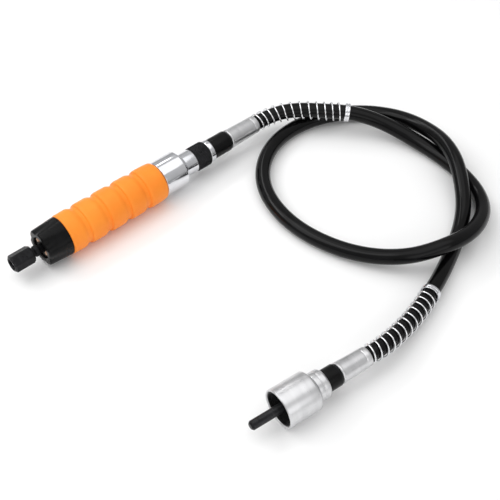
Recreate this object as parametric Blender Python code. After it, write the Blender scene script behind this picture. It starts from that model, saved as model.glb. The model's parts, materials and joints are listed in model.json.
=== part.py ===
"""Reciprocating carving handpiece on a flexible drive shaft, lying on a table.

Units are metres with +Z up, and the table is z = 0. The handpiece lies along +X with its chuck at -X. The
hose leaves its rear end, makes one loop and comes back to the bell that screws on to a motor. Each assembly
is drawn along its own axis, in millimetres from its front end, and turned round that axis.
"""
import math

import bmesh
import bpy
import numpy as np
from mathutils import Matrix, Vector

MM = 0.001

# Placing: the handpiece's front end, and the middle of the bell's mouth. These places and the hose's route
# are measured from one point, and CENTRE is where the middle of the object's box lies from there.
CENTRE = Vector((1.13, 2.93, 0)) * MM
GRIP_RADIUS = 16.5
BELL_RADIUS = 14.8
HAND_FRONT = Vector((-153, 114, GRIP_RADIUS)) * MM - CENTRE
BELL_MOUTH = Vector((-85.5, -107.5, BELL_RADIUS)) * MM - CENTRE
BELL_TURN = math.radians(-5.3)

# Stations along the handpiece, from its front end (mm).
NUT_LENGTH = 17.6
CAP_FRONT = 25.2
CAP_REAR = 45.3
GRIP_FRONT = 45.6
GRIP_REAR = 135.3
HOUSING_FRONT = 135.6
SHOULDER_FRONT = 155.9
NECK_REAR = 170.1
COUPLING_FRONT = 170.4
COUPLING_REAR = 183.6
STOP_FRONT = 183.9
CONNECTOR_FRONT = 188.9
CONNECTOR_REAR = 207.1
HAND_FERRULE_FRONT = 207.4
HAND_FERRULE_REAR = 237.0

# Stations along the motor end, from the bell's mouth towards the hose (mm).
SHAFT_TIP = -22.6
BELL_LENGTH = 28.3
COLLAR_REAR = 38.1
SLEEVE_FRONT = 38.4
SLEEVE_REAR = 50.2
MOTOR_FERRULE_FRONT = 50.5
MOTOR_FERRULE_REAR = 76.4

GAP = 0.3
SHANK_RADIUS = 3.3
PLUNGER_RADIUS = 3.5
PLUNGER_TRAVEL = 3.0
SCREW_CIRCLE = 6.8
SCREW_ANGLES = (64, 184, 304)
GRIP_BORE = 13.3
GROOVES = (61.4, 79.9, 98.4, 116.9)

# The hose.
HOSE_RADIUS = 6.1
HOSE_BORE = 3.5
CORE_RADIUS = 2.5
HOSE_POINTS = 54
SPRING_RADIUS = 7.4
SPRING_WIRE = 0.6
SPRING_LENGTH = 76.0
SPRING_TURNS = 12
COLLAR_WIDTH = 4.0
SQUARE_END = 1.5

# The hose's middle line in mm, from the handpiece's ferrule to the motor's: over its own loop, down to the
# table, round to the left, under the first spring, over and then under itself, and up into the motor ferrule.
HOSE_ROUTE = (
    (84.3, 114, 16.5), (93.5, 113.2, 16.9), (103, 110.5, 18.3), (118.5, 100.6, 20.7), (135, 84.5, 21.4),
    (150, 70, 20.4), (161, 57, 17.4), (170, 42, 13.2), (177, 23, 8.8), (181, 0, 6.6),
    (180.5, -27, 6.3), (174.5, -51, 6.8), (161.2, -69.7, 9.8), (141.7, -81.2, 14.6), (122, -85, 18.3),
    (101.8, -82.3, 19.8), (83.3, -73.5, 16.6), (68.4, -58.6, 11.6), (54.5, -36.9, 7.8), (44.4, -12.1, 6.4),
    (39.5, 13, 6.3), (41, 38, 6.3), (49, 61, 6.3), (65, 80.5, 6.3), (87, 93, 6.3),
    (112, 97, 6.3), (136, 93, 6.3), (159, 82.5, 6.4), (177, 65.5, 7.4), (187.5, 43.5, 10.4),
    (189.5, 19, 14.8), (185, -5, 19.0), (176, -26, 19.2), (165, -43, 14.8), (153, -57, 9.8),
    (139, -68, 6.9), (122, -78, 6.4), (104, -87, 6.6), (86, -95, 7.4), (70, -101, 8.2),
    (52, -106.7, 8.8), (34, -111, 10.0), (16, -114.2, 12.8), (3, -115.3, 14.4), (-9.13, -114.58, 14.8),
)


# ---- materials ---------------------------------------------------------------------------------------------

def material(name, colour, roughness, metallic=0.0):
    """A plain Principled material."""
    made = bpy.data.materials.new(name)
    made.use_nodes = True
    shader = made.node_tree.nodes["Principled BSDF"]
    shader.inputs["Base Color"].default_value = (*colour, 1.0)
    shader.inputs["Roughness"].default_value = roughness
    shader.inputs["Metallic"].default_value = metallic
    return made


def make_materials():
    return {
        "black_steel": material("black_steel", (0.015, 0.015, 0.017), 0.38, 0.6),
        "black_plastic": material("black_plastic", (0.012, 0.012, 0.013), 0.35),
        "orange_rubber": material("orange_rubber", (0.95, 0.30, 0.02), 0.55),
        "polished_steel": material("polished_steel", (0.82, 0.83, 0.84), 0.14, 1.0),
        "satin_aluminium": material("satin_aluminium", (0.78, 0.79, 0.80), 0.30, 1.0),
        "brass": material("brass", (0.80, 0.55, 0.25), 0.28, 1.0),
        "bronze": material("bronze", (0.55, 0.33, 0.16), 0.40, 1.0),
        "plain_steel": material("plain_steel", (0.45, 0.46, 0.48), 0.35, 1.0),
        "spring_wire": material("spring_wire", (0.78, 0.79, 0.80), 0.22, 1.0),
        "hose_rubber": material("hose_rubber", (0.010, 0.010, 0.011), 0.30),
        "core_wire": material("core_wire", (0.30, 0.30, 0.32), 0.45, 1.0),
    }


# ---- turned pieces -----------------------------------------------------------------------------------------

def flats(across, sides):
    """A turned radius cut back to flats, the given distance across."""
    step = 2 * math.pi / sides

    def limit(angle, radius):
        from_flat = (angle + step / 2) % step - step / 2
        return min(radius, across / 2 / math.cos(from_flat))
    return limit


def flutes(count, depth, lobe_angle):
    """A turned radius with shallow rounded flutes along it, and one of the lobes between them at that angle."""
    def limit(angle, radius):
        return radius - depth * (0.5 - 0.5 * math.cos(count * (angle - lobe_angle)))
    return limit


def ring(station, steps):
    """One ring of points round local X; a station is (x, radius) or (x, radius, shape), in millimetres."""
    x, radius = station[:2]
    shape = station[2] if len(station) > 2 else None
    points = []
    for step in range(steps):
        angle = 2 * math.pi * step / steps
        reach = shape(angle, radius) if shape else radius
        points.append(Vector((x, reach * math.cos(angle), reach * math.sin(angle))) * MM)
    return points


def turned_mesh(name, outline, steps):
    """A body of revolution. The outline runs along the outside from front to rear, then back inside."""
    shape = bmesh.new()
    rings = []
    for station in outline:
        if station[1] == 0:
            rings.append([shape.verts.new((station[0] * MM, 0, 0))])
        else:
            rings.append([shape.verts.new(point) for point in ring(station, steps)])
    closes_on_axis = outline[0][1] == 0 and outline[-1][1] == 0
    last = len(rings) - 1 if closes_on_axis else len(rings)
    for index in range(last):
        front, rear = rings[index], rings[(index + 1) % len(rings)]
        for step in range(steps):
            after = (step + 1) % steps
            if len(front) == 1:
                shape.faces.new((front[0], rear[step], rear[after]))
            elif len(rear) == 1:
                shape.faces.new((front[step], rear[0], front[after]))
            else:
                shape.faces.new((front[step], rear[step], rear[after], front[after]))
    bmesh.ops.recalc_face_normals(shape, faces=shape.faces)
    mesh = bpy.data.meshes.new(name)
    shape.to_mesh(mesh)
    shape.free()
    mesh.shade_smooth()
    mesh.set_sharp_from_angle(angle=math.radians(32))
    return mesh


def add(name, data, finish, axis, place=(0, 0, 0)):
    """An object on an assembly's axis, with its finish."""
    thing = bpy.data.objects.new(name, data)
    data.materials.append(finish)
    bpy.context.collection.objects.link(thing)
    thing.parent = axis
    thing.location = Vector(place) * MM
    return thing


def turned(name, finish, axis, outline, steps=32, place=(0, 0, 0)):
    return add(name, turned_mesh(name, outline, steps), finish, axis, place)


def tube(front, rear, outer, inner):
    """The outline of a plain ring or tube."""
    return [(front, outer), (rear, outer), (rear, inner), (front, inner)]


def empty(name, place, turn):
    axis = bpy.data.objects.new(name, None)
    bpy.context.collection.objects.link(axis)
    axis.location = place
    axis.rotation_euler = (0, 0, turn)
    return axis


def on_circle(radius, degrees):
    """A place off an axis: degrees from +Y towards +Z."""
    angle = math.radians(degrees)
    return (0, radius * math.cos(angle), radius * math.sin(angle))


def cut(target, cutter):
    """Take a hidden cutter out of a piece."""
    cutter.hide_render = True
    cutter.display_type = "WIRE"
    cutter.hide_set(True)
    modifier = target.modifiers.new(cutter.name, "BOOLEAN")
    modifier.operation = "DIFFERENCE"
    modifier.object = cutter


def box_cutter(name, axis, low, high):
    """A box between two corners, in millimetres along an assembly's axis, for cutting."""
    shape = bmesh.new()
    bmesh.ops.create_cube(shape, size=1.0)
    size = (Vector(high) - Vector(low)) * MM
    middle = (Vector(high) + Vector(low)) / 2 * MM
    bmesh.ops.scale(shape, vec=size, verts=shape.verts)
    bmesh.ops.translate(shape, vec=middle, verts=shape.verts)
    mesh = bpy.data.meshes.new(name)
    shape.to_mesh(mesh)
    shape.free()
    cutter = bpy.data.objects.new(name, mesh)
    bpy.context.collection.objects.link(cutter)
    cutter.parent = axis
    return cutter


# ---- the hose's line and what is wound on it ---------------------------------------------------------------

def smooth_curve(points, count, start_way, end_way):
    """Evenly spaced points of the cubic spline through a route, with its length.

    The ways are unit vectors along the curve at its two ends.
    """
    route = np.array(points, dtype=float) * MM - np.array(CENTRE)
    knots = np.concatenate(([0.0], np.cumsum(np.linalg.norm(np.diff(route, axis=0), axis=1))))
    gaps = np.diff(knots)
    size = len(knots)
    system = np.eye(size)
    target = np.zeros((size, 3))
    slopes = np.diff(route, axis=0) / gaps[:, None]
    for row in range(1, size - 1):
        system[row, row - 1:row + 2] = gaps[row - 1], 2 * (gaps[row - 1] + gaps[row]), gaps[row]
        target[row] = 6 * (slopes[row] - slopes[row - 1])
    system[0, :2] = 2 * gaps[0], gaps[0]
    target[0] = 6 * (slopes[0] - np.array(start_way))
    system[-1, -2:] = gaps[-1], 2 * gaps[-1]
    target[-1] = 6 * (np.array(end_way) - slopes[-1])
    bends = np.linalg.solve(system, target)
    fine = np.linspace(0.0, knots[-1], 40 * size)
    span = np.clip(np.searchsorted(knots, fine, side="right") - 1, 0, size - 2)
    after = ((fine - knots[span]) / gaps[span])[:, None]
    before = 1 - after
    scale = (gaps[span] ** 2)[:, None] / 6
    line = (before * route[span] + after * route[span + 1]
            + ((before ** 3 - before) * bends[span] + (after ** 3 - after) * bends[span + 1]) * scale)
    run = np.concatenate(([0.0], np.cumsum(np.linalg.norm(np.diff(line, axis=0), axis=1))))
    even = np.linspace(0.0, run[-1], count)
    spaced = np.stack([np.interp(even, run, line[:, side]) for side in range(3)], axis=1)
    return [Vector(point) for point in spaced], run[-1]


def frame_at(line, length, distance):
    """The matrix at a distance along an evenly spaced line, with its X along the line."""
    place = min(max(distance / length, 0.0), 1.0) * (len(line) - 1)
    index = min(int(place), len(line) - 2)
    before = line[max(index - 1, 0)]
    after = line[min(index + 2, len(line) - 1)]
    along = (after - before).normalized()
    side = Vector((0, 0, 1)).cross(along).normalized()
    up = along.cross(side)
    point = line[index].lerp(line[index + 1], place - index)
    return Matrix.Translation(point) @ Matrix((along, side, up)).transposed().to_4x4()


def wire_along(name, finish, centres, radius, axis=None, sides=4):
    """A closed wire of round section that follows a row of points."""
    shape = bmesh.new()
    rings = []
    for index, centre in enumerate(centres):
        along = (centres[min(index + 1, len(centres) - 1)] - centres[max(index - 1, 0)]).normalized()
        side = along.orthogonal().normalized() if index == 0 else (side - along * side.dot(along)).normalized()
        up = along.cross(side)
        angles = [2 * math.pi * step / sides for step in range(sides)]
        rings.append([shape.verts.new(centre + radius * (side * math.cos(a) + up * math.sin(a))) for a in angles])
    for front, rear in zip(rings, rings[1:]):
        for step in range(sides):
            after = (step + 1) % sides
            shape.faces.new((front[step], front[after], rear[after], rear[step]))
    shape.faces.new(list(reversed(rings[0])))
    shape.faces.new(rings[-1])
    bmesh.ops.recalc_face_normals(shape, faces=shape.faces)
    mesh = bpy.data.meshes.new(name)
    shape.to_mesh(mesh)
    shape.free()
    mesh.shade_smooth()
    return add(name, mesh, finish, axis)


def hose_tube(name, finish, points, radius):
    """A cord's plain solid: a bevelled poly curve."""
    curve = bpy.data.curves.new(name, "CURVE")
    curve.dimensions = "3D"
    curve.bevel_depth = radius * MM
    curve.bevel_resolution = 2
    curve.use_fill_caps = True
    spline = curve.splines.new("POLY")
    spline.points.add(len(points) - 1)
    for spot, point in zip(spline.points, points):
        spot.co = (*point, 1.0)
    return add(name, curve, finish, None)


# ---- handpiece ---------------------------------------------------------------------------------------------

def make_chuck(axis, finishes):
    """The hexagonal nut, and the split collet that it squeezes on a chisel's shank."""
    hexagon = flats(13.2, 6)
    turned("chuck_nut", finishes["black_steel"], axis, [
        (0, 5.6), (1.1, 6.9, hexagon), (15.6, 7.3, hexagon), (17.0, 6.9, hexagon), (NUT_LENGTH, 6.1),
        (NUT_LENGTH, 5.2), (5.2, 5.2), (1.4, 3.95), (0, 3.95)], steps=24)
    collet = turned("collet", finishes["plain_steel"], axis, [
        (2.0, 3.75), (5.2, 4.8), (7.2, 4.8), (7.2, SHANK_RADIUS), (2.0, SHANK_RADIUS)], steps=16)
    for side in range(3):
        slit = box_cutter(f"collet_slit_{side}", axis, (1.0, 1.0, -0.35), (6.0, 8.0, 0.35))
        slit.rotation_euler = (math.radians(120 * side + 30), 0, 0)
        cut(collet, slit)


def make_plunger(axis, finishes):
    """The tool holder: a socket for the shank, a boss, the rod, and the flange that its spring pushes."""
    turned("tool_holder", finishes["black_steel"], axis, [
        (15.6, 0), (15.0, 3.4), (7.6, 3.4), (7.6, 4.5), (8.0, 4.9), (16.4, 4.9), (16.9, 3.6),
        (19.4, 3.6), (20.2, 4.5), (22.6, 4.5), (23.4, PLUNGER_RADIUS), (48.0, PLUNGER_RADIUS),
        (48.0, 9.8), (50.8, 9.8), (50.8, 4.0), (57.0, 4.0), (57.0, 0)], steps=16)
    coil = []
    turns, per_turn, start, end = 4, 8, 51.9, 61.3
    for step in range(turns * per_turn + 1):
        angle = 2 * math.pi * step / per_turn
        x = start + (end - start) * step / (turns * per_turn)
        coil.append(Vector((x, 8.9 * math.cos(angle), 8.9 * math.sin(angle))) * MM)
    wire_along("return_spring", finishes["plain_steel"], coil, 0.5 * MM, axis)


def make_nose(axis, finishes):
    """The fluted cap, the bush that guides the plunger, and the three screws that hold it in."""
    fluted = flutes(6, 1.0, math.radians(40))
    cap = turned("nose_cap", finishes["black_plastic"], axis, [
        (CAP_FRONT, 13.9), (26.0, 14.6, fluted), (44.7, 15.9, fluted), (CAP_REAR, 15.6),
        (CAP_REAR, 13.35), (33.3, 13.35), (33.3, 5.2), (29.3, 5.2), (29.3, 9.2), (CAP_FRONT, 9.2)], steps=24)
    bush = turned("nose_bush", finishes["bronze"], axis, [
        (27.0, 8.8), (29.0, 8.8), (29.0, 4.9), (47.7, 4.9),
        (47.7, PLUNGER_RADIUS + GAP), (27.0, PLUNGER_RADIUS + GAP)], steps=20)
    for number, degrees in enumerate(SCREW_ANGLES, start=1):
        place = on_circle(SCREW_CIRCLE, degrees)
        hole = turned(f"screw_hole_{number}", finishes["brass"], axis, [
            (26.0, 0), (26.0, 1.2), (34.0, 1.2), (34.0, 0)], steps=10, place=place)
        cut(cap, hole)
        cut(bush, hole)
        turned(f"nose_screw_{number}", finishes["brass"], axis, [
            (25.5, 0), (25.6, 1.0), (26.0, 1.6), (26.7, 1.75), (26.7, 0.9), (32.0, 0.9), (32.0, 0)],
            steps=10, place=place)


def grip_outline():
    """The grip's outline: five bands with a sloped and a steep side to each groove between them."""
    outline = [(GRIP_FRONT, 15.9)]
    for number, groove in enumerate(GROOVES):
        top = GRIP_RADIUS - 0.12 * max(number - 1, 0)
        outline += [(groove - 3.6, top), (groove - 1.6, top - 1.7), (groove + 1.2, top - 1.8),
                    (groove + 2.2, top - 0.5), (groove + 4.0, top)]
    outline += [(GRIP_REAR - 4.5, 16.0), (GRIP_REAR - 1.2, 15.5), (GRIP_REAR, 14.9)]
    return outline + [(GRIP_REAR, GRIP_BORE), (GRIP_FRONT, GRIP_BORE)]


def make_body(axis, finishes):
    """The rubber grip, the barrel under it, and the polished rear housing with its neck."""
    turned("grip_sleeve", finishes["orange_rubber"], axis, grip_outline(), steps=20)
    turned("inner_barrel", finishes["satin_aluminium"], axis, [
        (33.6, 13.0), (141.7, 13.0), (141.7, 11.0), (66.0, 11.0), (66.0, 7.4), (62.0, 7.4), (62.0, 11.0),
        (33.6, 11.0)], steps=20)
    turned("rear_housing", finishes["polished_steel"], axis, [
        (HOUSING_FRONT, 14.3), (HOUSING_FRONT + 0.5, 14.8), (SHOULDER_FRONT, 14.8), (156.7, 14.4),
        (159.0, 10.2), (159.6, 9.65), (NECK_REAR, 9.65), (NECK_REAR, 8.5), (178.9, 8.5),
        (178.9, 6.1), (152.3, 6.1), (152.3, 5.6), (149.3, 5.6), (149.3, 11.1), (142.0, 11.1),
        (142.0, 13.3), (HOUSING_FRONT, 13.3)], steps=20)


def make_hammer(axis, finishes):
    """The striker, the cam shaft that throws it forward, and that shaft's two bearings."""
    turned("striker", finishes["plain_steel"], axis, [
        (60.5, 0), (60.5, 4.2), (61.3, 6.9), (69.4, 6.9), (69.4, 10.4), (85.7, 10.4), (86.0, 10.1), (86.0, 0)],
        steps=16)
    square = flats(4.8, 4)
    cam = turned("cam_shaft", finishes["plain_steel"], axis, [
        (88.8, 0), (88.8, 5.0), (88.8, 10.3), (96.0, 10.3), (96.0, 5.6), (99.6, 5.6), (99.6, 4.0),
        (150.0, 4.0), (150.0, 5.0), (166.0, 5.0), (166.0, 3.3, square), (152.5, 3.3, square), (152.5, 0)],
        steps=16)
    raise_cam_lobes(cam.data, face=88.8, lift=2.4)
    turned("cam_bearing_front", finishes["plain_steel"], axis, tube(100.0, 107.0, 10.7, 4.3), steps=20)
    turned("cam_bearing_rear", finishes["plain_steel"], axis, tube(142.3, 149.0, 10.8, 4.3), steps=20)


def raise_cam_lobes(mesh, face, lift):
    """Two smooth lobes on the cam's front face."""
    for vertex in mesh.vertices:
        radius = math.hypot(vertex.co.y, vertex.co.z)
        if abs(vertex.co.x - face * MM) < 0.1 * MM and radius > 0.1 * MM:
            angle = math.atan2(vertex.co.z, vertex.co.y)
            vertex.co.x -= lift * MM * (0.5 - 0.5 * math.cos(2 * angle))


def make_coupling(axis, finishes):
    """The knurled union nut, and the shaft's hand end that it draws into the handpiece's neck."""
    turned("coupling_nut", finishes["black_steel"], axis, [
        (COUPLING_FRONT, 9.8), (170.9, 10.2), (183.1, 10.2), (COUPLING_REAR, 9.8),
        (COUPLING_REAR, 7.5), (182.1, 7.5), (182.1, 8.8), (COUPLING_FRONT, 8.8)], steps=24)
    turned("stop_ring", finishes["polished_steel"], axis, [
        (STOP_FRONT, 9.0), (184.4, 9.4), (188.1, 9.4), (188.6, 9.0), (188.6, 7.5), (STOP_FRONT, 7.5)], steps=20)
    turned("hand_connector", finishes["black_plastic"], axis, [
        (168.0, 5.2), (168.5, 5.8), (179.2, 5.8), (179.2, 8.4), (181.8, 8.4), (181.8, 7.2),
        (CONNECTOR_FRONT, 7.2), (CONNECTOR_FRONT, 8.6), (205.6, 8.6), (CONNECTOR_REAR, 7.6), (CONNECTOR_REAR, 4.2), (168.0, 4.2)], steps=20)
    turned("hand_ferrule", finishes["satin_aluminium"], axis, [
        (HAND_FERRULE_FRONT, 7.8), (208.0, 8.2), (209.2, 8.2), (209.6, 7.95), (235.6, 7.35),
        (HAND_FERRULE_REAR, 6.9), (HAND_FERRULE_REAR, 4.0), (HAND_FERRULE_FRONT, 4.0)], steps=20)
    key = flats(4.0, 4)
    turned("core_key", finishes["plain_steel"], axis, [
        (153.5, 0), (153.5, 2.0, key), (154.1, 2.7, key), (166.4, 2.7, key), (167.0, 2.9), (211.7, 2.9),
        (211.7, 0)], steps=16)


# ---- motor end ---------------------------------------------------------------------------------------------

def make_bell(axis, finishes):
    """The bell nut, its liner, and the stepped collar behind it."""
    turned("bell_housing", finishes["satin_aluminium"], axis, [
        (0, 14.2), (0.6, BELL_RADIUS), (26.0, BELL_RADIUS), (27.5, 13.6), (BELL_LENGTH, 11.8),
        (BELL_LENGTH, 8.0), (19.0, 8.0), (19.0, 13.2), (0, 13.2)], steps=24)
    turned("bell_lining", finishes["black_plastic"], axis, tube(0.8, 8.6, 12.9, 11.9), steps=24)
    turned("bell_collar", finishes["satin_aluminium"], axis, [
        (28.7, 10.3), (29.3, 10.8), (36.7, 10.8), (COLLAR_REAR, 10.0), (COLLAR_REAR, 7.9), (28.7, 7.9)],
        steps=20)


def make_drive_end(axis, finishes):
    """The drive shaft, its boss and bearing, the carrier that holds them, and the sleeve and ferrule."""
    turned("drive_shaft", finishes["black_steel"], axis, [
        (SHAFT_TIP, 0), (SHAFT_TIP, 2.5), (SHAFT_TIP + 1.1, 3.5), (34.0, 3.5), (34.0, 0)], steps=16)
    turned("drive_boss", finishes["black_steel"], axis, [
        (7.6, 5.2), (8.1, 5.7), (15.6, 5.7), (15.6, 3.8), (7.6, 3.8)], steps=16)
    turned("shaft_bearing", finishes["plain_steel"], axis, tube(11.0, 15.7, 9.9, 6.0), steps=20)
    clip = turned("bearing_clip", finishes["plain_steel"], axis, tube(9.5, 10.7, 9.9, 8.3), steps=20)
    cut(clip, box_cutter("clip_gap", axis, (9.0, -1.5, -12.0), (11.2, 1.5, -7.0)))
    turned("bearing_carrier", finishes["satin_aluminium"], axis, [
        (9.0, 12.6), (18.7, 12.6), (18.7, 7.6), (44.0, 7.6), (44.0, 5.0), (16.0, 5.0), (16.0, 10.2),
        (9.0, 10.2)], steps=20)
    turned("motor_sleeve", finishes["black_plastic"], axis, [
        (SLEEVE_FRONT, 8.4), (48.8, 8.4), (SLEEVE_REAR, 7.6), (SLEEVE_REAR, 4.2), (44.3, 4.2), (44.3, 7.9),
        (SLEEVE_FRONT, 7.9)], steps=20)
    turned("motor_ferrule", finishes["satin_aluminium"], axis, [
        (MOTOR_FERRULE_FRONT, 7.7), (51.1, 8.15), (52.2, 8.15), (52.6, 7.95), (75.0, 7.4),
        (MOTOR_FERRULE_REAR, 7.0), (MOTOR_FERRULE_REAR, 4.0), (MOTOR_FERRULE_FRONT, 4.0)], steps=20)


# ---- hose --------------------------------------------------------------------------------------------------

def make_strain_relief(name, line, length, start, finishes):
    """An open coil round the hose from a ferrule, and the collar that ends it."""
    centres = []
    per_turn = 10
    direction = 1 if start < length / 2 else -1
    for step in range(SPRING_TURNS * per_turn + 1):
        distance = start + direction * SPRING_LENGTH * MM * step / (SPRING_TURNS * per_turn)
        angle = 2 * math.pi * step / per_turn
        spot = Vector((0, math.cos(angle), math.sin(angle))) * SPRING_RADIUS * MM
        centres.append(frame_at(line, length, distance) @ spot)
    wire_along(f"{name}_spring", finishes["spring_wire"], centres, SPRING_WIRE * MM)
    middle = start + direction * (SPRING_LENGTH + SPRING_WIRE + GAP + COLLAR_WIDTH / 2) * MM
    half = COLLAR_WIDTH / 2
    collar = turned(f"{name}_spring_collar", finishes["polished_steel"], None, [
        (-half, 7.5), (0.5 - half, 7.8), (half - 0.5, 7.8), (half, 7.5), (half, 6.5), (-half, 6.5)], steps=20)
    collar.matrix_world = frame_at(line, length, middle)


def make_hose(hand_axis, bell_axis, finishes):
    """The hose, the core inside it, and the two strain-relief springs."""
    start_way = Vector((1, 0, 0))
    into_bell = -(bell_axis.matrix_basis.to_3x3() @ Vector((1, 0, 0)))
    line, length = smooth_curve(HOSE_ROUTE, HOSE_POINTS, start_way, into_bell)
    lead_in = line[0] + start_way * SQUARE_END * MM
    lead_out = line[-1] - into_bell * SQUARE_END * MM
    squared = [line[0], lead_in, *line[1:-1], lead_out, line[-1]]
    sheath = hose_tube("hose_sheath", finishes["hose_rubber"], squared, HOSE_RADIUS)
    sheath.data.use_fill_caps = False
    wall = sheath.modifiers.new("wall", "SOLIDIFY")
    wall.thickness = (HOSE_RADIUS - HOSE_BORE) * MM
    wall.offset = -1.0
    hand_end = hand_axis.matrix_basis @ (Vector((212.0, 0, 0)) * MM)
    bell_end = bell_axis.matrix_basis @ (Vector((34.3, 0, 0)) * MM)
    hose_tube("flex_core", finishes["core_wire"], [hand_end, *squared, bell_end], CORE_RADIUS)
    spring_start = (GAP + SPRING_WIRE) * MM
    make_strain_relief("hand", line, length, spring_start, finishes)
    make_strain_relief("motor", line, length, length - spring_start, finishes)


def main():
    for thing in list(bpy.data.objects):
        bpy.data.objects.remove(thing, do_unlink=True)
    finishes = make_materials()
    hand_axis = empty("hand_axis", HAND_FRONT, 0.0)
    bell_axis = empty("bell_axis", BELL_MOUTH, BELL_TURN)
    make_chuck(hand_axis, finishes)
    make_plunger(hand_axis, finishes)
    make_nose(hand_axis, finishes)
    make_body(hand_axis, finishes)
    make_hammer(hand_axis, finishes)
    make_coupling(hand_axis, finishes)
    make_bell(bell_axis, finishes)
    make_drive_end(bell_axis, finishes)
    make_hose(hand_axis, bell_axis, finishes)
    bpy.context.view_layer.update()


main()
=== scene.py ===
"""The looks of a power-carving handpiece on its flexible shaft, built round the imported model.

Each assembly is drawn in millimetres along its own axis, as in the CAD: the handpiece from its chuck's
front, and the motor end from the bell's mouth. Nearly every piece is turned round local X, and each stands
for one CAD node.
"""
import json
import math

import bmesh
import bpy
import numpy as np
from mathutils import Matrix, Vector


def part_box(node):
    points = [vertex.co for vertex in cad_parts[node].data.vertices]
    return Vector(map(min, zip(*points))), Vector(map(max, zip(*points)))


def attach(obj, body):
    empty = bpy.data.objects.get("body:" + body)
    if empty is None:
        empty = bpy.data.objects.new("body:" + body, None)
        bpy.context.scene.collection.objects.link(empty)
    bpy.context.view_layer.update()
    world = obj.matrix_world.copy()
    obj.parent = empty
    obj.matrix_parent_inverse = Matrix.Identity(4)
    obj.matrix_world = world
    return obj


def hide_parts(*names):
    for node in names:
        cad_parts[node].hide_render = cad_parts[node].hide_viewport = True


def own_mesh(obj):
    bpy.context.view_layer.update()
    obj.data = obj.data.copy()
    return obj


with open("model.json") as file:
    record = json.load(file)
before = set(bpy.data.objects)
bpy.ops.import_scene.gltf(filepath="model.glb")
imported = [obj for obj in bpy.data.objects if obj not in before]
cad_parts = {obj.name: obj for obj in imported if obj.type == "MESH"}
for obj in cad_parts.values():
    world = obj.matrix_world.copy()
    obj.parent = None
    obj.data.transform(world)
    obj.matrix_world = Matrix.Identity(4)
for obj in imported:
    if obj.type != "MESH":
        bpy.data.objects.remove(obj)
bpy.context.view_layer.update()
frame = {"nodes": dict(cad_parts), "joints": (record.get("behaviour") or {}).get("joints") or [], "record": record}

MM = 0.001
NODES = frame["nodes"]

# The camera, at the viewing angle of the photograph.
CAMERA_PLACE = Vector((-0.36047, -0.40323, 0.63773))
CAMERA_TARGET = Vector((-0.00102, 0.01882, 0.0))
CAMERA_LENS = 79.2

# The hose. Its route is in the CAD's own millimetres, in which CENTRE is the point that becomes the origin.
CENTRE = Vector((1.13, 2.93, 0)) * MM
HOSE_DIAMETER = 12.2 * MM
HOSE_POINTS = 240
HOSE_ROUTE = (
    (84.3, 114, 16.5), (93.5, 113.2, 16.9), (103, 110.5, 18.3), (118.5, 100.6, 20.7), (135, 84.5, 21.4),
    (150, 70, 20.4), (161, 57, 17.4), (170, 42, 13.2), (177, 23, 8.8), (181, 0, 6.6),
    (180.5, -27, 6.3), (174.5, -51, 6.8), (161.2, -69.7, 9.8), (141.7, -81.2, 14.6), (122, -85, 18.3),
    (101.8, -82.3, 19.8), (83.3, -73.5, 16.6), (68.4, -58.6, 11.6), (54.5, -36.9, 7.8), (44.4, -12.1, 6.4),
    (39.5, 13, 6.3), (41, 38, 6.3), (49, 61, 6.3), (65, 80.5, 6.3), (87, 93, 6.3),
    (112, 97, 6.3), (136, 93, 6.3), (159, 82.5, 6.4), (177, 65.5, 7.4), (187.5, 43.5, 10.4),
    (189.5, 19, 14.8), (185, -5, 19.0), (176, -26, 19.2), (165, -43, 14.8), (153, -57, 9.8),
    (139, -68, 6.9), (122, -78, 6.4), (104, -87, 6.6), (86, -95, 7.4), (70, -101, 8.2),
    (52, -106.7, 8.8), (34, -111, 10.0), (16, -114.2, 12.8), (3, -115.3, 14.4), (-9.13, -114.58, 14.8),
)

# The strain-relief springs, in mm along the hose from its ends, and the return spring in the handpiece.
SPRING_START = 0.9
SPRING_LENGTH = 76.0
SPRING_TURNS = 12
SPRING_RADIUS = 7.35
SPRING_WIRE = 0.62
END_TURN_CLOSING = 0.018
COLLAR_MIDDLE = SPRING_START + SPRING_LENGTH + 2.9
RETURN_FRONT = 51.9
RETURN_REAR = 61.3
RETURN_TURNS = 4
RETURN_RADIUS = 8.9
RETURN_WIRE = 0.5
COIL_STEPS = 40

# Handpiece: stations in mm from the chuck's front, radii in mm, and what is repeated round the axis.
NUT_LENGTH = 17.6
NUT_ACROSS_FLATS = 13.2
SLITS = 3
SLIT_ANGLE = math.radians(30)
SLIT_HALF_WIDTH = math.radians(5)
SLIT_REAR = 6.2
SLIT_FLOOR = 3.45
CAP_FRONT = 25.2
CAP_REAR = 45.3
CAP_INSIDE = 12.0
FLUTES = 6
FLUTE_ANGLE = math.radians(40)
FLUTE_DEPTH = 1.7
FLUTE_REAR = 44.6
FLUTE_FADE = 5.0
FLUTE_POWER = 1.4
SCREW_CIRCLE = 6.8
SCREW_ANGLES = (64, 184, 304)
PLUNGER_RADIUS = 3.5
GRIP_FRONT = 45.6
GRIP_REAR = 135.3
GRIP_RADIUS = 16.5
GROOVES = (61.4, 79.9, 98.4, 116.9)
UNION_FRONT = 170.4
UNION_REAR = 183.6
UNION_CHAMFER = 0.3
KNURL_RIDGES = 60
KNURL_DEPTH = 0.32
KNURL_INSIDE = 9.6

# Motor end, in mm from the bell's mouth.
THREAD_REAR = 8.2
THREAD_TURNS = 5
THREAD_PITCH = 1.25
THREAD_CREST = 11.9
THREAD_ROOT = 12.6
FACETS = 6
FACET_INSIDE = 3.2
FACET_HEIGHT = 3.32

# How finely things are drawn: steps round a turned piece, and the widest step along a rounded corner.
ROUND = 96
ARC_STEP = math.radians(15)
WIRE_SIDES = 10


# ---- places --------------------------------------------------------------------------------------------

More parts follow.
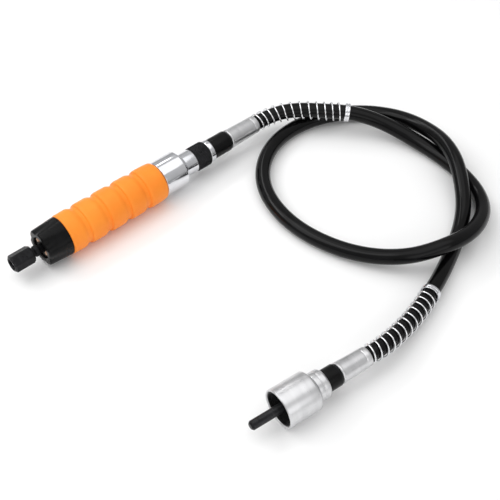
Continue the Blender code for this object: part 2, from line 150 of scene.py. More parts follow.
def axis_matrix(origin, along):
    """Local X along an assembly's axis, and local Z as near to up as it goes."""
    along = Vector(along).normalized()
    side = Vector((0, 0, 1)).cross(along).normalized()
    up = along.cross(side)
    return Matrix.Translation(origin) @ Matrix((along, side, up)).transposed().to_4x4()


def joint_called(name):
    return next(joint for joint in frame["joints"] if joint["name"] == name)


def hand_axis():
    """The handpiece's axis: from the nut's front, at the grip's height."""
    nut_low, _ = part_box("chuck_nut")
    grip_low, grip_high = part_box("grip_sleeve")
    middle = (grip_low + grip_high) / 2
    return axis_matrix(Vector((nut_low.x, middle.y, middle.z)), (1, 0, 0))


def bell_axis():
    """The motor end's axis, from the bell's mouth towards the hose."""
    joint = joint_called("bell_spin")
    return axis_matrix(Vector(joint["pos_m"]), joint["axis"])


HAND = hand_axis()
BELL = bell_axis()


# ---- camera, light and floor ---------------------------------------------------------------------------

def make_camera():
    data = bpy.data.cameras.new("camera")
    data.lens = CAMERA_LENS
    data.sensor_width = 36.0
    data.clip_start = 0.01
    camera = bpy.data.objects.new("camera", data)
    bpy.context.collection.objects.link(camera)
    camera.location = CAMERA_PLACE
    camera.rotation_euler = (CAMERA_TARGET - CAMERA_PLACE).to_track_quat("-Z", "Y").to_euler()
    bpy.context.scene.camera = camera
    bpy.context.scene.view_settings.view_transform = "Standard"


def area_light(name, place, size, power):
    """A soft box that faces the origin. Its size is in metres and its power in watts."""
    data = bpy.data.lights.new(name, "AREA")
    data.shape = "RECTANGLE"
    data.size, data.size_y = size
    data.energy = power
    light = bpy.data.objects.new(name, data)
    bpy.context.collection.objects.link(light)
    light.location = place
    light.rotation_euler = (Vector((0, 0, 0)) - Vector(place)).to_track_quat("-Z", "Y").to_euler()


def colour_ramp(tree, value, stops):
    """Colours at positions along a value: (position, (r, g, b)), ..."""
    ramp = tree.nodes.new("ShaderNodeValToRGB")
    points = ramp.color_ramp.elements
    while len(points) < len(stops):
        points.new(0.5)
    for point, (position, colour) in zip(points, stops):
        point.position = position
        point.color = (*colour, 1.0)
    tree.links.new(value, ramp.inputs[0])
    return ramp.outputs[0]


def socket_called(sockets, identifier):
    return next(socket for socket in sockets if socket.identifier == identifier)


def sky_bands(tree, height, *bands):
    """Greys at heights above the horizon: (height, grey), ..."""
    return colour_ramp(tree, height, [(position, (grey, grey, grey)) for position, grey in bands])


def make_sky():
    """A pale room all round, with a dark line along its horizon in front, which polished metal shows."""
    world = bpy.data.worlds.new("studio")
    bpy.context.scene.world = world
    world.use_nodes = True
    tree = world.node_tree
    place = tree.nodes.new("ShaderNodeTexCoord")
    split = tree.nodes.new("ShaderNodeSeparateXYZ")
    front = tree.nodes.new("ShaderNodeMapRange")
    front.inputs["From Min"].default_value = 0.2
    front.inputs["From Max"].default_value = -0.2
    mix = tree.nodes.new("ShaderNodeMix")
    mix.data_type = "RGBA"
    tree.links.new(place.outputs["Generated"], split.inputs[0])
    tree.links.new(split.outputs["Y"], front.inputs["Value"])
    height = split.outputs["Z"]
    plain = sky_bands(tree, height, (0.0, 0.70), (0.9, 1.0))
    lined = sky_bands(tree, height, (0.0, 0.75), (0.085, 0.70), (0.11, 0.05), (0.14, 0.72), (0.9, 1.0))
    for socket, source in (("Factor_Float", front.outputs["Result"]), ("A_Color", plain), ("B_Color", lined)):
        tree.links.new(source, socket_called(mix.inputs, socket))
    background = tree.nodes["Background"]
    tree.links.new(socket_called(mix.outputs, "Result_Color"), background.inputs["Color"])
    background.inputs["Strength"].default_value = 0.66


def make_lights():
    """Large soft boxes above, behind and in front, and a narrow one for the hose's shine."""
    area_light("key_box", (-0.6, 0.5, 1.0), (1.1, 0.9), 5.5)
    area_light("top_box", (0.1, 0.0, 1.5), (1.6, 1.6), 6.5)
    area_light("front_box", (-0.3, -1.1, 0.5), (1.4, 0.7), 3.0)
    area_light("strip", (-0.1, 0.8, 0.75), (1.2, 0.14), 1.9)


def make_floor():
    """A pale sheet, just under the piece so that nothing lies in its plane."""
    half, drop = 3.0, 0.0002
    mesh = bpy.data.meshes.new("floor")
    corners = [(-half, -half, 0), (half, -half, 0), (half, half, 0), (-half, half, 0)]
    mesh.from_pydata(corners, [], [(0, 1, 2, 3)])
    floor = bpy.data.objects.new("floor", mesh)
    bpy.context.collection.objects.link(floor)
    floor.location.z = -drop
    finish = bpy.data.materials.new("floor_paper")
    finish.use_nodes = True
    shader = finish.node_tree.nodes["Principled BSDF"]
    shader.inputs["Base Color"].default_value = (0.93, 0.93, 0.93, 1)
    shader.inputs["Roughness"].default_value = 0.85
    shader.inputs["Specular IOR Level"].default_value = 0.2
    mesh.materials.append(finish)


# ---- finishes ------------------------------------------------------------------------------------------

class Finish:
    """A node-based material in the making. Patterns are in the object's own millimetres, X along its axis."""

    def __init__(self, name, roughness, metallic=0.0, **sockets):
        self.material = bpy.data.materials.new(name)
        self.material.use_nodes = True
        self.tree = self.material.node_tree
        self.shader = self.tree.nodes["Principled BSDF"]
        self.shader.inputs["Metallic"].default_value = metallic
        self.shader.inputs["Roughness"].default_value = roughness
        for socket, value in sockets.items():
            self.shader.inputs[socket.replace("_", " ")].default_value = value
        self.place = self.tree.nodes.new("ShaderNodeTexCoord").outputs["Object"]

    def new(self, kind, **values):
        node = self.tree.nodes.new(kind)
        for name, value in values.items():
            setattr(node, name, value)
        return node

    def noise(self, size, stretch=(1, 1, 1), detail=3.0):
        """Noise from 0 to 1 with features about that many mm across, longer where the stretch is higher."""
        scale = self.new("ShaderNodeMapping")
        scale.inputs["Scale"].default_value = [1 / (size * MM * part) for part in stretch]
        self.tree.links.new(self.place, scale.inputs["Vector"])
        noise = self.new("ShaderNodeTexNoise")
        noise.inputs["Scale"].default_value = 1.0
        noise.inputs["Detail"].default_value = detail
        self.tree.links.new(scale.outputs[0], noise.inputs["Vector"])
        return noise.outputs["Fac"]

    def fit(self, value, low, high, start=0.3, end=0.7):
        """A value from a pattern, spread between low and high."""
        spread = self.new("ShaderNodeMapRange")
        for socket, number in zip(("From Min", "From Max", "To Min", "To Max"), (start, end, low, high)):
            spread.inputs[socket].default_value = number
        self.tree.links.new(value, spread.inputs["Value"])
        return spread.outputs[0]

    def ramp(self, value, *stops):
        """Colours at positions: (position, (r, g, b)), ..."""
        return colour_ramp(self.tree, value, stops)

    def mix(self, amount, base, over):
        """A fixed colour laid over a base colour by a pattern's amount."""
        mix = self.new("ShaderNodeMix", data_type="RGBA")
        self.tree.links.new(amount, socket_called(mix.inputs, "Factor_Float"))
        self.tree.links.new(base, socket_called(mix.inputs, "A_Color"))
        socket_called(mix.inputs, "B_Color").default_value = (*over, 1.0)
        return socket_called(mix.outputs, "Result_Color")

    def times(self, first, second):
        product = self.new("ShaderNodeMath", operation="MULTIPLY")
        self.tree.links.new(first, product.inputs[0])
        self.tree.links.new(second, product.inputs[1])
        return product.outputs[0]

    def edges(self):
        """1 on convex edges and 0 elsewhere."""
        point = self.new("ShaderNodeNewGeometry").outputs["Pointiness"]
        return self.fit(point, 0.0, 1.0, 0.52, 0.62)

    def colour(self, value):
        self.tree.links.new(value, self.shader.inputs["Base Color"])

    def roughness(self, value):
        self.tree.links.new(value, self.shader.inputs["Roughness"])

    def bump(self, *layers):
        """Bump from (pattern, depth in mm) layers, one on another."""
        normal = None
        for pattern, depth in layers:
            bump = self.new("ShaderNodeBump")
            bump.inputs["Strength"].default_value = 1.0
            bump.inputs["Distance"].default_value = depth * MM
            self.tree.links.new(pattern, bump.inputs["Height"])
            if normal:
                self.tree.links.new(normal, bump.inputs["Normal"])
            normal = bump.outputs[0]
        self.tree.links.new(normal, self.shader.inputs["Normal"])

    def brushed_round(self, strength):
        """Anisotropic shine of a surface turned on a lathe round local X."""
        self.shader.inputs["Anisotropic"].default_value = strength
        tangent = self.new("ShaderNodeTangent", direction_type="RADIAL", axis="X")
        self.tree.links.new(tangent.outputs[0], self.shader.inputs["Tangent"])


def hose_rubber():
    """Glossy black vinyl, faintly rippled, and duller in places."""
    finish = Finish("hose_rubber", 0.15, Specular_IOR_Level=0.17)
    patches = finish.noise(18, detail=4)
    finish.colour(finish.ramp(patches, (0.3, (0.001, 0.001, 0.001)), (0.75, (0.004, 0.004, 0.0045))))
    finish.roughness(finish.fit(finish.noise(9, detail=5), 0.10, 0.20))
    finish.bump((finish.noise(9.0, detail=2), 0.05), (finish.noise(0.5, detail=2), 0.002))
    return finish.material


def grip_rubber():
    """Soft orange rubber, fine-grained and a little redder in places."""
    finish = Finish("orange_rubber", 0.55, Sheen_Weight=0.08, Sheen_Roughness=0.4, Specular_IOR_Level=0.3)
    tone = finish.ramp(finish.noise(22, detail=4), (0.3, (0.97, 0.255, 0.018)), (0.7, (1.0, 0.300, 0.026)))
    speck = finish.fit(finish.noise(0.9, detail=2), 0.0, 0.18, 0.62, 0.78)
    finish.colour(finish.mix(speck, tone, (0.80, 0.20, 0.012)))
    finish.roughness(finish.fit(finish.noise(6, detail=4), 0.44, 0.62))
    finish.bump((finish.noise(0.45, detail=3), 0.03), (finish.noise(5, detail=2), 0.05))
    return finish.material


def black_plastic():
    """Moulded black nylon with a fine grain, worn a little paler along its edges."""
    finish = Finish("black_plastic", 0.26, Specular_IOR_Level=0.14)
    patches = finish.noise(8, detail=4)
    base = finish.ramp(patches, (0.3, (0.001, 0.001, 0.001)), (0.7, (0.0035, 0.0035, 0.004)))
    finish.colour(finish.mix(finish.edges(), base, (0.030, 0.030, 0.032)))
    finish.roughness(finish.fit(finish.noise(5, detail=4), 0.24, 0.36))
    finish.bump((finish.noise(0.35, detail=2), 0.018))
    return finish.material


def black_steel():
    """Oil-blackened steel, with bare metal showing faintly along its edges."""
    finish = Finish("black_steel", 0.34, 0.6, Specular_IOR_Level=0.15)
    patches = finish.noise(3.5, detail=5)
    base = finish.ramp(patches, (0.3, (0.008, 0.008, 0.009)), (0.75, (0.020, 0.020, 0.022)))
    worn = finish.times(finish.edges(), finish.fit(finish.noise(1.2, detail=3), 0.15, 0.6))
    finish.colour(finish.mix(worn, base, (0.22, 0.22, 0.23)))
    finish.roughness(finish.fit(finish.noise(2, detail=4), 0.26, 0.46))
    finish.bump((finish.noise(0.5, (0.35, 2, 2), detail=3), 0.008))
    return finish.material


def polished_steel():
    """Bright chromed steel with faint polishing marks round it."""
    finish = Finish("polished_steel", 0.12, 1.0)
    patches = finish.noise(25, detail=3)
    finish.colour(finish.ramp(patches, (0.3, (0.66, 0.67, 0.70)), (0.7, (0.78, 0.78, 0.80))))
    finish.roughness(finish.fit(finish.noise(0.8, (0.3, 6, 6), detail=4), 0.09, 0.17))
    finish.bump((finish.noise(0.5, (0.3, 8, 8), detail=2), 0.0003))
    return finish.material


def turned_aluminium():
    """Aluminium as it comes off a lathe: fine rings, and a soft shine stretched along the axis."""
    finish = Finish("satin_aluminium", 0.32, 1.0)
    patches = finish.noise(14, (0.4, 2, 2), detail=4)
    finish.colour(finish.ramp(patches, (0.3, (0.60, 0.60, 0.61)), (0.7, (0.70, 0.70, 0.71))))
    finish.roughness(finish.fit(finish.noise(0.9, (0.25, 6, 6), detail=4), 0.27, 0.38))
    finish.bump((finish.noise(0.4, (0.3, 12, 12), detail=2), 0.0008))
    finish.brushed_round(0.25)
    return finish.material


def bright_wire():
    """Drawn spring wire."""
    finish = Finish("spring_wire", 0.16, 1.0)
    patches = finish.noise(3, detail=3)
    finish.colour(finish.ramp(patches, (0.3, (0.74, 0.75, 0.77)), (0.7, (0.90, 0.90, 0.91))))
    finish.roughness(finish.fit(finish.noise(1.2, detail=3), 0.10, 0.24))
    finish.bump((finish.noise(0.4, detail=2), 0.004))
    return finish.material


def ground_steel():
    """Plain ground steel of the inner pieces, under a film of oil."""
    finish = Finish("plain_steel", 0.3, 1.0, Coat_Weight=0.2, Coat_Roughness=0.2)
    patches = finish.noise(6, detail=4)
    finish.colour(finish.ramp(patches, (0.3, (0.36, 0.37, 0.39)), (0.7, (0.56, 0.57, 0.59))))
    finish.roughness(finish.fit(finish.noise(0.7, (0.3, 5, 5), detail=4), 0.22, 0.42))
    finish.bump((finish.noise(0.4, (0.3, 8, 8), detail=2), 0.004))
    return finish.material


def turned_brass():
    """Reddish brass, dulled here and there."""
    finish = Finish("brass", 0.5, 0.35)
    patches = finish.noise(1.5, detail=4)
    finish.colour(finish.ramp(patches, (0.3, (0.42, 0.25, 0.16)), (0.7, (0.54, 0.34, 0.23))))
    finish.roughness(finish.fit(finish.noise(0.8, detail=4), 0.32, 0.5))
    finish.bump((finish.noise(0.3, detail=2), 0.004))
    return finish.material


def sintered_bronze():
    """Oil-soaked sintered bronze with open grain, painted nearly black as the shade of the nose cap's recess it
    sits in.
    """
    finish = Finish("bronze", 0.7, 0.2, Specular_IOR_Level=0.08)
    patches = finish.noise(0.6, detail=5)
    # The near-black colours are painted shade: the bush sits deep in the nose cap's recess.
    finish.colour(finish.ramp(patches, (0.35, (0.004, 0.003, 0.002)), (0.7, (0.012, 0.008, 0.005))))
    finish.roughness(finish.fit(finish.noise(0.5, detail=4), 0.38, 0.6))
    finish.bump((finish.noise(0.3, detail=3), 0.02))
    return finish.material


def wound_core():
    """The wound steel core, greased."""
    finish = Finish("core_wire", 0.4, 1.0)
    patches = finish.noise(2, detail=4)
    finish.colour(finish.ramp(patches, (0.3, (0.22, 0.22, 0.23)), (0.7, (0.36, 0.36, 0.38))))
    finish.roughness(finish.fit(finish.noise(2, detail=4), 0.30, 0.5))
    finish.bump((finish.noise(0.8, detail=2), 0.05))
    return finish.material


def make_finishes():
    """The finish of each material slot in the record."""
    makers = {
        "hose_rubber": hose_rubber, "orange_rubber": grip_rubber, "black_plastic": black_plastic,
        "black_steel": black_steel, "polished_steel": polished_steel, "satin_aluminium": turned_aluminium,
        "spring_wire": bright_wire, "plain_steel": ground_steel, "brass": turned_brass,
        "bronze": sintered_bronze, "core_wire": wound_core,
    }
    return {slot: maker() for slot, maker in makers.items()}


FINISH = make_finishes()
SLOT_OF = {entry["node"]: entry["material_slot"] for entry in frame["record"]["subparts"]}
BODY_OF = {node: body for body, nodes in frame["record"]["behaviour"]["bodies"].items() for node in nodes}


# ---- turned pieces -------------------------------------------------------------------------------------

def corner_arc(before, corner, after, fillet):
    """Points that round a corner of an outline with an arc of that radius, in mm.

    The arc takes a little under half of each side at most, and a corner that is nearly straight, or nearly
    folded back on itself, stays as it is.
    """
    back = np.array(before[:2], float) - np.array(corner[:2], float)
    ahead = np.array(after[:2], float) - np.array(corner[:2], float)
    back_length, ahead_length = np.linalg.norm(back), np.linalg.norm(ahead)
    if fillet <= 0 or back_length < 1e-6 or ahead_length < 1e-6:
        return [tuple(corner[:2])]
    back, ahead = back / back_length, ahead / ahead_length
    half_angle = math.acos(max(-1.0, min(1.0, float(back @ ahead)))) / 2
    if half_angle > math.radians(88) or half_angle < math.radians(2):
        return [tuple(corner[:2])]
    reach = min(fillet / math.tan(half_angle), 0.48 * back_length, 0.48 * ahead_length)
    radius = reach * math.tan(half_angle)
    middle_way = (back + ahead) / np.linalg.norm(back + ahead)
    centre = np.array(corner[:2], float) + middle_way * radius / math.sin(half_angle)
    first = np.array(corner[:2], float) + back * reach - centre
    last = np.array(corner[:2], float) + ahead * reach - centre
    turn = math.atan2(first[0] * last[1] - first[1] * last[0], float(first @ last))
    count = max(2, math.ceil(abs(turn) / ARC_STEP))
    points = []
    for step in range(count + 1):
        angle = turn * step / count
        cos, sin = math.cos(angle), math.sin(angle)
        along = first[0] * cos - first[1] * sin
        across = first[0] * sin + first[1] * cos
        points.append((centre[0] + along, centre[1] + across))
    return points


def smooth_outline(corners, fillet):
    """An outline's corners (x, radius) or (x, radius, fillet), rounded. Corners on the axis stay sharp."""
    outline = []
    closed = not (corners[0][1] == 0 and corners[-1][1] == 0)
    for index, corner in enumerate(corners):
        ends = index in (0, len(corners) - 1)
        if corner[1] == 0 or (ends and not closed):
            outline.append(tuple(corner[:2]))
            continue
        own = corner[2] if len(corner) > 2 else fillet
        outline += corner_arc(corners[index - 1], corner, corners[(index + 1) % len(corners)], own)
    return outline, closed


def turned_mesh(name, corners, fillet=0.25, steps=ROUND, shape=None):
    """A closed body turned round X. The shape, if any, gives the radius at an angle, radius and x."""
    outline, closed = smooth_outline(corners, fillet)
    mesh = bmesh.new()
    rings = []
    for x, radius in outline:
        if radius == 0:
            rings.append([mesh.verts.new((x * MM, 0, 0))])
            continue
        ring = []
        for step in range(steps):
            angle = 2 * math.pi * step / steps
            reach = shape(angle, radius, x) if shape else radius
            ring.append(mesh.verts.new(Vector((x, reach * math.cos(angle), reach * math.sin(angle))) * MM))
        rings.append(ring)
    for index in range(len(rings) if closed else len(rings) - 1):
        join_rings(mesh, rings[index], rings[(index + 1) % len(rings)])
    bmesh.ops.recalc_face_normals(mesh, faces=mesh.faces)
    return finished_mesh(mesh, name)


def join_rings(mesh, front, rear):
    """Faces between two rings of points, either of which may be a single point on the axis."""
    count = max(len(front), len(rear))
    for step in range(count):
        after = (step + 1) % count
        if len(front) == 1:
            mesh.faces.new((front[0], rear[step], rear[after]))
        elif len(rear) == 1:
            mesh.faces.new((front[step], rear[0], front[after]))
        else:
            mesh.faces.new((front[step], rear[step], rear[after], front[after]))


def finished_mesh(shape, name, sharp=30):
    mesh = bpy.data.meshes.new(name)
    shape.to_mesh(mesh)
    shape.free()
    mesh.shade_smooth()
    mesh.set_sharp_from_angle(angle=math.radians(sharp))
    return mesh


def stand_for(node, mesh, axis, name=None):
    """Put a detailed piece in a CAD node's place, with its slot's finish, riding on its body."""
    piece = bpy.data.objects.new(name or f"{node}_look", mesh)
    bpy.context.collection.objects.link(piece)
    piece.matrix_world = axis
    mesh.materials.append(FINISH[SLOT_OF[node]])
    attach(piece, BODY_OF[node])
    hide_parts(node)
    return piece


def turned(node, axis, corners, fillet=0.25, steps=ROUND, shape=None):
    return stand_for(node, turned_mesh(node, corners, fillet, steps, shape), axis)


def from_nearest(angle, count, first=0.0):
    """The angle from the nearest of a number of evenly spaced places round the axis."""
    step = 2 * math.pi / count
    return (angle - first + step / 2) % step - step / 2


# ---- the hose's line -----------------------------------------------------------------------------------

def smooth_curve(points, count, start_way, end_way):
    """Evenly spaced points of the cubic spline through a route, as the CAD's hose follows it."""
    route = np.array(points, dtype=float) * MM - np.array(CENTRE)
    knots = np.concatenate(([0.0], np.cumsum(np.linalg.norm(np.diff(route, axis=0), axis=1))))
    gaps = np.diff(knots)
    size = len(knots)
    system = np.eye(size)
    target = np.zeros((size, 3))
    slopes = np.diff(route, axis=0) / gaps[:, None]
    for row in range(1, size - 1):
        system[row, row - 1:row + 2] = gaps[row - 1], 2 * (gaps[row - 1] + gaps[row]), gaps[row]
        target[row] = 6 * (slopes[row] - slopes[row - 1])
    system[0, :2] = 2 * gaps[0], gaps[0]
    target[0] = 6 * (slopes[0] - np.array(start_way))
    system[-1, -2:] = gaps[-1], 2 * gaps[-1]
    target[-1] = 6 * (np.array(end_way) - slopes[-1])
    bends = np.linalg.solve(system, target)
    fine = np.linspace(0.0, knots[-1], 40 * size)
    span = np.clip(np.searchsorted(knots, fine, side="right") - 1, 0, size - 2)
    after = ((fine - knots[span]) / gaps[span])[:, None]
    before = 1 - after
    scale = (gaps[span] ** 2)[:, None] / 6
    line = (before * route[span] + after * route[span + 1]
            + ((before ** 3 - before) * bends[span] + (after ** 3 - after) * bends[span + 1]) * scale)
    run = np.concatenate(([0.0], np.cumsum(np.linalg.norm(np.diff(line, axis=0), axis=1))))
    even = np.linspace(0.0, run[-1], count)
    spaced = np.stack([np.interp(even, run, line[:, side]) for side in range(3)], axis=1)
    return [Vector(point) for point in spaced], run[-1]


HAND_WAY = HAND.to_3x3() @ Vector((1, 0, 0))
BELL_WAY = BELL.to_3x3() @ Vector((1, 0, 0))
LINE, LINE_LENGTH = smooth_curve(HOSE_ROUTE, HOSE_POINTS, HAND_WAY, -BELL_WAY)


def frame_at(distance):
    """The matrix at a distance along the hose, with its X along the line."""
    place = min(max(distance / LINE_LENGTH, 0.0), 1.0) * (len(LINE) - 1)
    index = min(int(place), len(LINE) - 2)
    along = LINE[min(index + 2, len(LINE) - 1)] - LINE[max(index - 1, 0)]
    return axis_matrix(LINE[index].lerp(LINE[index + 1], place - index), along)


def make_hose():
    """The hose itself, a curve along its line."""
    curve = bpy.data.curves.new("hose", "CURVE")
    curve.dimensions = "3D"
    curve.bevel_depth = HOSE_DIAMETER / 2
    curve.bevel_resolution = 10
    curve.use_fill_caps = True
    spline = curve.splines.new("POLY")
    spline.points.add(len(LINE) - 1)
    for spot, point in zip(spline.points, LINE):
        spot.co = (*point, 1.0)
    hose = stand_for("hose_sheath", curve, Matrix.Identity(4), "hose")


# ---- springs -------------------------------------------------------------------------------------------

def wire_mesh(name, centres, radius):
    """A closed round wire along a row of points."""
    mesh = bmesh.new()
    rings = []
    side = None
    for index, centre in enumerate(centres):
        along = (centres[min(index + 1, len(centres) - 1)] - centres[max(index - 1, 0)]).normalized()
        side = (side - along * side.dot(along)).normalized() if side else along.orthogonal().normalized()
        up = along.cross(side)
        ring = []
        for step in range(WIRE_SIDES):
            angle = 2 * math.pi * step / WIRE_SIDES
            ring.append(mesh.verts.new(centre + radius * (side * math.cos(angle) + up * math.sin(angle))))
        rings.append(ring)
    for front, rear in zip(rings, rings[1:]):
        join_rings(mesh, front, rear)
    mesh.faces.new(rings[0])
    mesh.faces.new(rings[-1])
    bmesh.ops.recalc_face_normals(mesh, faces=mesh.faces)
    return finished_mesh(mesh, name, sharp=60)


def spring_centres(start, direction):
    """A coil round the hose, whose end turns lie closer together against the ferrule and the collar."""
    centres = []
    total = SPRING_TURNS * COIL_STEPS
    for step in range(total + 1):
        share = step / total
        closing = END_TURN_CLOSING * math.sin(2 * math.pi * share)
        distance = start + direction * SPRING_LENGTH * MM * (share - closing)
        angle = 2 * math.pi * step / COIL_STEPS
        spot = Vector((0, math.cos(angle), math.sin(angle))) * SPRING_RADIUS * MM
        centres.append(frame_at(distance) @ spot)
    return centres


def make_strain_relief(end, start, direction):
    """One spring and the bright collar that ends it."""
    centres = spring_centres(start, direction)
    stand_for(f"{end}_spring", wire_mesh(f"{end}_spring", centres, SPRING_WIRE * MM), Matrix.Identity(4))
    place = frame_at(start + direction * (COLLAR_MIDDLE - SPRING_START) * MM)
    turned(f"{end}_spring_collar", place, [
        (-2.0, 7.75), (-0.45, 7.8, 0.1), (-0.2, 7.55, 0.1), (0.2, 7.55, 0.1), (0.45, 7.8, 0.1), (2.0, 7.75),
        (2.0, 6.4), (-2.0, 6.4)], fillet=0.35)


# ---- handpiece -----------------------------------------------------------------------------------------

def make_chuck():
    """The hexagonal nut with its chamfered ends, and the collet's split rim inside it."""
    turned("chuck_nut", HAND, [
        (0, 5.5, 0.2), (1.3, 7.35, 0.4), (15.8, 7.35, 0.6), (NUT_LENGTH, 6.1, 0.5), (NUT_LENGTH, 5.2),
        (5.4, 5.2), (1.2, 4.3, 0.2), (0, 4.9, 0.2)], steps=144, shape=nut_shape)
    turned("collet", HAND, [
        (2.05, 3.75), (5.2, 4.8), (7.2, 4.8), (7.2, 3.3), (2.05, 3.3, 0.2)],
        fillet=0.15, steps=144, shape=slit_shape)


def nut_shape(angle, radius, x):
    """The six flats of the chuck nut."""
    return min(radius, NUT_ACROSS_FLATS / 2 / math.cos(from_nearest(angle, 6)))


def slit_shape(angle, radius, x):
    """Narrow slits along the front of the collet, almost through its wall."""
    if x > SLIT_REAR or abs(from_nearest(angle, SLITS, SLIT_ANGLE)) > SLIT_HALF_WIDTH:
        return radius
    return min(radius, SLIT_FLOOR)


def make_plunger():
    """The tool holder: its socket, the round boss, and the rod that goes into the nose."""
    turned("tool_holder", HAND, [
        (15.6, 0), (15.0, 3.4), (7.6, 3.4), (7.6, 4.5), (8.0, 4.9), (16.4, 4.9), (16.9, 3.6),
        (19.0, 3.6, 0.6), (20.0, 4.5, 0.6), (22.8, 4.5, 0.6), (23.8, PLUNGER_RADIUS, 0.5),
        (48.0, PLUNGER_RADIUS), (48.0, 9.8), (50.8, 9.8), (50.8, 4.0), (57.0, 4.0), (57.0, 0)], fillet=0.2)


def make_return_spring():
    """The spring behind the tool holder's flange, drawn at one length; on the tool it shortens as the holder goes
    in.
    """
    centres = []
    length = RETURN_REAR - RETURN_FRONT
    total = RETURN_TURNS * COIL_STEPS
    for step in range(total + 1):
        angle = 2 * math.pi * step / COIL_STEPS
        x = RETURN_FRONT + length * step / total
        spot = Vector((x, RETURN_RADIUS * math.cos(angle), RETURN_RADIUS * math.sin(angle)))
        centres.append(HAND @ (spot * MM))
    wire = wire_mesh("return_spring", centres, RETURN_WIRE * MM)
    spring = stand_for("return_spring", wire, Matrix.Identity(4))
    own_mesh(spring)


def nose_shape(angle, radius, x):
    """Six wide flutes along the cap, that run out at its rear edge and leave the inside round."""
    if radius < CAP_INSIDE:
        return radius
    depth = FLUTE_DEPTH * min(1.0, max(0.0, (FLUTE_REAR - x) / FLUTE_FADE))
    wave = 0.5 - 0.5 * math.cos(FLUTES * (angle - FLUTE_ANGLE))
    return radius - depth * wave ** FLUTE_POWER


def make_nose():
    """The fluted cap with its recess, the bronze bush in it and the three screws."""
    turned("nose_cap", HAND, [
        (CAP_FRONT, 13.8, 0.5), (26.2, 14.75, 0.7), (44.9, 15.95, 0.3), (CAP_REAR, 15.6, 0.1),
        (CAP_REAR, 13.35, 0.1), (33.3, 13.35, 0), (33.3, 5.2, 0), (29.3, 5.2, 0), (29.3, 9.2, 0),
        (CAP_FRONT + 0.6, 9.2, 0.3), (CAP_FRONT, 10.2, 0.3)], steps=180, shape=nose_shape)
    turned("nose_bush", HAND, [
        (27.0, 8.8), (29.0, 8.8), (29.0, 4.9), (47.7, 4.9), (47.7, PLUNGER_RADIUS + 0.3),
        (27.4, PLUNGER_RADIUS + 0.3), (27.0, 4.3)], fillet=0.2)
    for number, degrees in enumerate(SCREW_ANGLES, start=1):
        make_screw(f"nose_screw_{number}", degrees)


def make_screw(node, degrees):
    """A round-headed brass screw with a small dimple for its driver."""
    angle = math.radians(degrees)
    place = HAND @ Matrix.Translation(Vector((0, math.cos(angle), math.sin(angle))) * SCREW_CIRCLE * MM)
    turned(node, place, [
        (25.9, 0), (25.5, 0.6, 0.1), (25.5, 1.2, 0.6), (26.1, 1.8, 0.3), (26.7, 1.8, 0.1), (26.7, 0.9, 0.1),
        (32.0, 0.9), (32.0, 0)], steps=40)


def grip_corners():
    """Five bands, slimmer to the rear. Each groove has a long slope in front and a steep rear wall."""
    corners = [(GRIP_FRONT, 15.7, 0.2), (GRIP_FRONT + 0.9, 16.35, 0.6)]
    for number, groove in enumerate(GROOVES):
        top = GRIP_RADIUS - 0.12 * max(number - 1, 0)
        corners += [(groove - 4.6, top, 4.0), (groove - 1.5, top - 1.55, 0.9)]
        corners += [(groove + 1.3, top - 1.75, 0.4), (groove + 1.9, top - 0.45, 0.6)]
        corners += [(groove + 3.6, top, 2.0)]
    corners += [(GRIP_REAR - 5.0, 16.1, 3.0), (GRIP_REAR - 1.0, 15.6, 0.8), (GRIP_REAR, 14.7, 0.3)]
    return corners + [(GRIP_REAR, 13.3, 0), (GRIP_FRONT, 13.3, 0)]


def make_body():
    """The grip, and the polished rear housing with its sharp shoulder and its neck."""
    turned("grip_sleeve", HAND, grip_corners(), steps=160)
    turned("rear_housing", HAND, [
        (135.6, 14.3, 0.2), (136.1, 14.8, 0.2), (155.7, 14.8, 0.35), (156.9, 14.1, 0.3), (159.2, 9.9, 0.3),
        (160.0, 9.65, 0.3), (170.1, 9.65, 0.3), (170.1, 8.5, 0.1), (178.9, 8.5, 0.2), (178.9, 6.1),
        (152.3, 6.1), (152.3, 5.6), (149.3, 5.6), (149.3, 11.1), (142.0, 11.1), (142.0, 13.3),
        (135.6, 13.3)], steps=288)


def knurl_shape(angle, radius, x):
    """Fine ridges along the outside of the union nut, between its chamfered ends."""
    if not UNION_FRONT + UNION_CHAMFER < x < UNION_REAR - UNION_CHAMFER or radius < KNURL_INSIDE:
        return radius
    return radius - KNURL_DEPTH * (0.5 - 0.5 * math.cos(KNURL_RIDGES * angle))


def make_coupling():
    """The knurled union nut, the bright ring behind it, and the hose's black sleeve and ferrule."""
    turned("coupling_nut", HAND, [
        (UNION_FRONT, 9.8, 0.2), (UNION_FRONT + 0.6, 10.25, 0.2), (UNION_REAR - 0.6, 10.25, 0.2),
        (UNION_REAR, 9.8, 0.2), (UNION_REAR, 7.5, 0.1), (182.1, 7.5, 0), (182.1, 8.8, 0),
        (UNION_FRONT, 8.8, 0.1)], steps=480, shape=knurl_shape)
    turned("stop_ring", HAND, [
        (183.9, 8.9), (184.5, 9.4), (188.0, 9.4), (188.6, 8.9), (188.6, 7.5), (183.9, 7.5)], fillet=0.4)
    turned("hand_connector", HAND, [
        (168.0, 5.2), (168.5, 5.8), (179.2, 5.8), (179.2, 8.4), (181.8, 8.4), (181.8, 7.2), (188.9, 7.2),
        (188.9, 8.6, 0.3), (205.4, 8.6, 0.5), (207.1, 7.6, 0.3), (207.1, 4.2, 0), (168.0, 4.2, 0)])
    turned("hand_ferrule", HAND, ferrule_corners(
        front=207.4, rear=237.0, lip=8.2, wide=7.95, narrow=7.35, end=6.9))


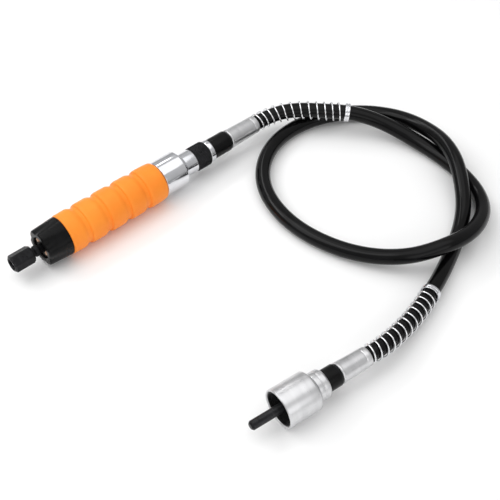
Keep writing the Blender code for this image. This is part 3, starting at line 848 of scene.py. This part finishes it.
def ferrule_corners(front, rear, lip, wide, narrow, end):
    """A crimped ferrule: a bright lip, a slight taper, a faint crimp groove and a turned-in rear edge."""
    crimp = rear - 4.6
    return [
        (front, lip - 0.5, 0.2), (front + 0.5, lip, 0.3), (front + 1.5, lip, 0.3), (front + 2.1, wide, 0.2),
        (crimp - 0.6, narrow + 0.1, 0.3), (crimp, narrow - 0.15, 0.3), (crimp + 0.6, narrow + 0.05, 0.3),
        (rear - 1.2, narrow, 0.4), (rear, end, 0.3), (rear, 6.15, 0.1), (rear - 1.5, 6.15, 0),
        (rear - 1.5, 4.0, 0), (front, 4.0, 0)]


# ---- motor end -----------------------------------------------------------------------------------------

def make_bell():
    """The bell nut with its chamfered mouth, its threaded black lining and the stepped collar behind."""
    turned("bell_housing", BELL, [
        (0, 14.3, 0.15), (0.6, 14.8, 0.3), (26.4, 14.8, 1.4), (27.9, 12.8, 0.8), (28.3, 11.8, 0.2),
        (28.3, 8.0, 0), (19.0, 8.0, 0), (19.0, 13.2, 0.2), (0.7, 13.2, 0.1), (0, 13.8, 0.1)], steps=128)
    turned("bell_collar", BELL, [
        (28.7, 10.3, 0.2), (29.3, 10.8, 0.3), (32.5, 10.8, 0.1), (32.8, 10.5, 0.1), (33.2, 10.5, 0.1),
        (33.5, 10.8, 0.1), (36.8, 10.8, 0.5), (38.1, 9.8, 0.3), (38.1, 7.9, 0), (28.7, 7.9, 0)])
    turned("bell_lining", BELL, lining_corners())


def lining_corners():
    """The lining's outside, then the grooves of its thread from the rear to the mouth."""
    corners = [(0.8, 12.9, 0.1), (8.6, 12.9, 0.1), (8.6, THREAD_CREST, 0)]
    for number in range(THREAD_TURNS):
        x = THREAD_REAR - number * THREAD_PITCH
        corners += [(x, THREAD_CREST, 0.08), (x - THREAD_PITCH * 0.5, THREAD_ROOT, 0.12)]
        corners += [(x - THREAD_PITCH * 0.92, THREAD_CREST, 0.08)]
    return corners + [(1.2, 12.1, 0.1), (0.8, 12.5, 0.1)]


def shaft_shape(angle, radius, x):
    """Long shallow facets ground along the shaft's end."""
    if radius < FACET_INSIDE or x > 0:
        return radius
    return min(radius, FACET_HEIGHT / math.cos(from_nearest(angle, FACETS)))


def make_drive_end():
    """The drive shaft, its boss, the bearing behind its clip, and the sleeve and ferrule on the hose."""
    turned("drive_shaft", BELL, [
        (-22.6, 0), (-22.6, 2.3, 0.15), (-21.3, 3.5, 0.2), (34.0, 3.5, 0), (34.0, 0)],
        steps=144, shape=shaft_shape)
    turned("drive_boss", BELL, [
        (7.6, 5.1, 0.2), (8.2, 5.7, 0.2), (10.4, 5.7, 0.1), (10.7, 5.4, 0.1), (11.1, 5.7, 0.1), (15.6, 5.7),
        (15.6, 3.8), (7.6, 3.8, 0.2)])
    turned("shaft_bearing", BELL, [
        (11.0, 9.9, 0.2), (15.7, 9.9, 0.2), (15.7, 6.0, 0.1), (11.0, 6.0, 0.2), (11.0, 6.9, 0.05),
        (11.3, 7.1, 0.05), (11.3, 8.8, 0.05), (11.0, 9.0, 0.05)])
    turned("bearing_carrier", BELL, [
        (9.0, 12.6, 0.2), (18.7, 12.6, 0.2), (18.7, 7.6, 0), (44.0, 7.6, 0), (44.0, 5.0, 0), (16.0, 5.0, 0),
        (16.0, 10.2, 0), (9.0, 10.2, 0.2)])
    turned("motor_sleeve", BELL, [
        (38.4, 8.4, 0.3), (48.6, 8.4, 0.6), (50.2, 7.5, 0.3), (50.2, 4.2, 0), (44.3, 4.2, 0), (44.3, 7.9, 0),
        (38.4, 7.9, 0)])
    turned("motor_ferrule", BELL, ferrule_corners(
        front=50.5, rear=76.4, lip=8.15, wide=7.95, narrow=7.4, end=7.0))


def finish_cad_nodes():
    """Every CAD node takes its slot's finish. Those that no piece stands for are seen as they are."""
    for name, node in NODES.items():
        node.data.materials.clear()
        node.data.materials.append(FINISH[SLOT_OF[name]])


make_camera()
make_sky()
make_lights()
make_floor()
make_hose()
finish_cad_nodes()
make_strain_relief("hand", SPRING_START * MM, 1)
make_strain_relief("motor", LINE_LENGTH - SPRING_START * MM, -1)
make_chuck()
make_plunger()
make_return_spring()
make_nose()
make_body()
make_coupling()
make_bell()
make_drive_end()
